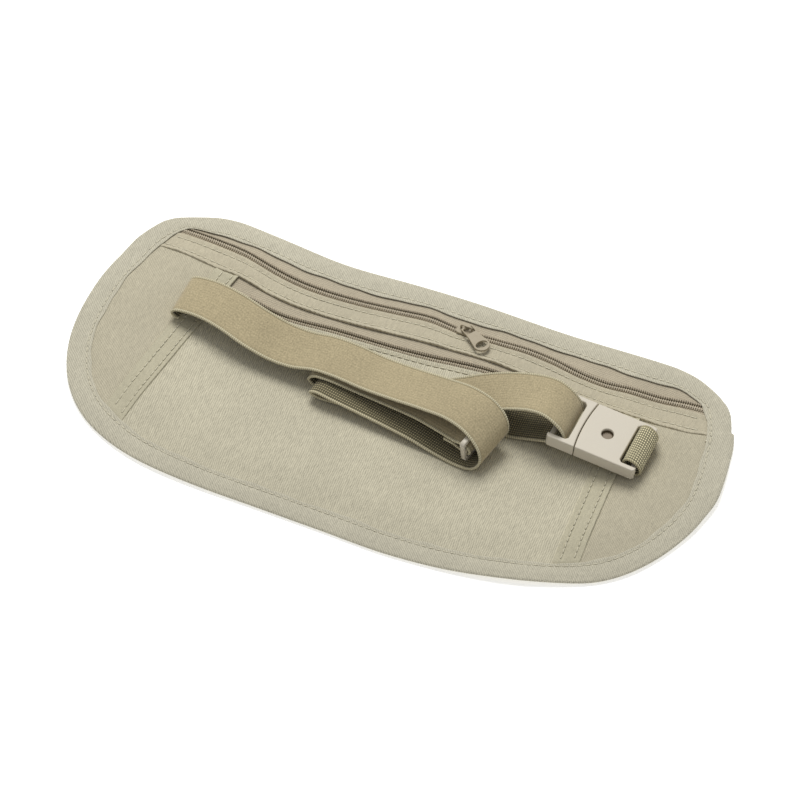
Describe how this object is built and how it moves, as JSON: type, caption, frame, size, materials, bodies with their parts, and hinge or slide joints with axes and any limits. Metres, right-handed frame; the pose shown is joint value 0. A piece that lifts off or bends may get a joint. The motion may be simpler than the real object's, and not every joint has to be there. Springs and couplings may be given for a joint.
{
  "type": "money belt",
  "caption": "Flat fabric waist pouch with coil zips, a bound edge, a folded elastic strap with adjuster and a centre-release buckle.",
  "frame": {"origin": "on the resting plane under the middle of the pouch's bounding box", "axes": "+X along the pouch towards the buckle end, +Y towards the zipped top edge, +Z out of the front face"},
  "size_m": [0.2794, 0.1378, 0.0226],
  "materials": {
    "canvas": "matt fine-ribbed nylon cloth",
    "wing_canvas": "matt nylon twill",
    "lining": "thin plain lining",
    "seam_tape": "matt twill tape with stitch rows",
    "binding": "matt plain-woven edge binding",
    "zip_tape": "woven polyester zip tape",
    "coil": "satin nylon monofilament",
    "zip_enamel": "satin enamel",
    "elastic": "matt ribbed elastic with picot edges",
    "webbing": "matt ribbed webbing",
    "acetal": "satin moulded acetal"
  },
  "bodies": {
    "pouch": {"back_panel": "canvas", "divider_panel": "lining", "mid_strip": "canvas", "front_panel": "canvas", "right_wing_panel": "wing_canvas", "left_wing_panel": "wing_canvas", "right_seam_tape": "seam_tape", "left_seam_tape": "seam_tape", "edge_binding": "binding", "upper_zip_tape_top": "zip_tape", "upper_zip_tape_bottom": "zip_tape", "upper_coil_top": "coil", "upper_coil_bottom": "coil", "lower_zip_tape_top": "zip_tape", "lower_zip_tape_bottom": "zip_tape", "lower_coil_top": "coil", "lower_coil_bottom": "coil", "waist_strap": "elastic", "strap_return": "elastic", "webbing_loop": "webbing", "buckle_female": "acetal"},
    "upper_slider": {"upper_zip_slider": "zip_enamel"},
    "upper_pull": {"upper_zip_pull": "zip_enamel"},
    "lower_slider": {"lower_zip_slider": "zip_enamel"},
    "lower_pull": {"lower_zip_pull": "zip_enamel"},
    "adjuster": {"strap_adjuster": "acetal"},
    "male_half": {"buckle_male": "acetal"},
    "tongue": {"release_tongue": "acetal"}
  },
  "joints": [
    {"name": "upper_zip_slide", "type": "slide", "parent": "pouch", "child": "upper_slider", "axis": [1, 0, 0], "range_m": [-0.108, 0.086]},
    {"name": "upper_pull_swing", "type": "hinge", "parent": "upper_slider", "child": "upper_pull", "pos_m": [0.0115, 0.052, 0.00495], "axis": [-0.5299, -0.848, 0], "range_deg": [0, 150]},
    {"name": "lower_zip_slide", "type": "slide", "parent": "pouch", "child": "lower_slider", "axis": [0.9988, 0.0499, 0], "range_m": [-0.143, 0.015]},
    {"name": "lower_pull_swing", "type": "hinge", "parent": "lower_slider", "child": "lower_pull", "pos_m": [0.065, 0.03625, 0.00495], "axis": [-0.0499, 0.9988, 0], "range_deg": [0, 150]},
    {"name": "adjuster_slide", "type": "slide", "parent": "pouch", "child": "adjuster", "axis": [-0.9781, 0.2079, 0], "range_m": [0, 0.012], "deforming": ["waist_strap", "strap_return"]},
    {"name": "buckle_slide", "type": "slide", "parent": "pouch", "child": "male_half", "axis": [-0.9899, -0.0259, 0.1392], "range_m": [0, 0.018], "deforming": ["waist_strap", "strap_return", "release_tongue"]},
    {"name": "tongue_press", "type": "hinge", "parent": "male_half", "child": "tongue", "pos_m": [0.08237, 0.01682, 0.0119], "axis": [-0.0262, 0.9997, 0], "range_deg": [0, 7.5], "stiffness_Nm_per_rad": 0.02}
  ]
}
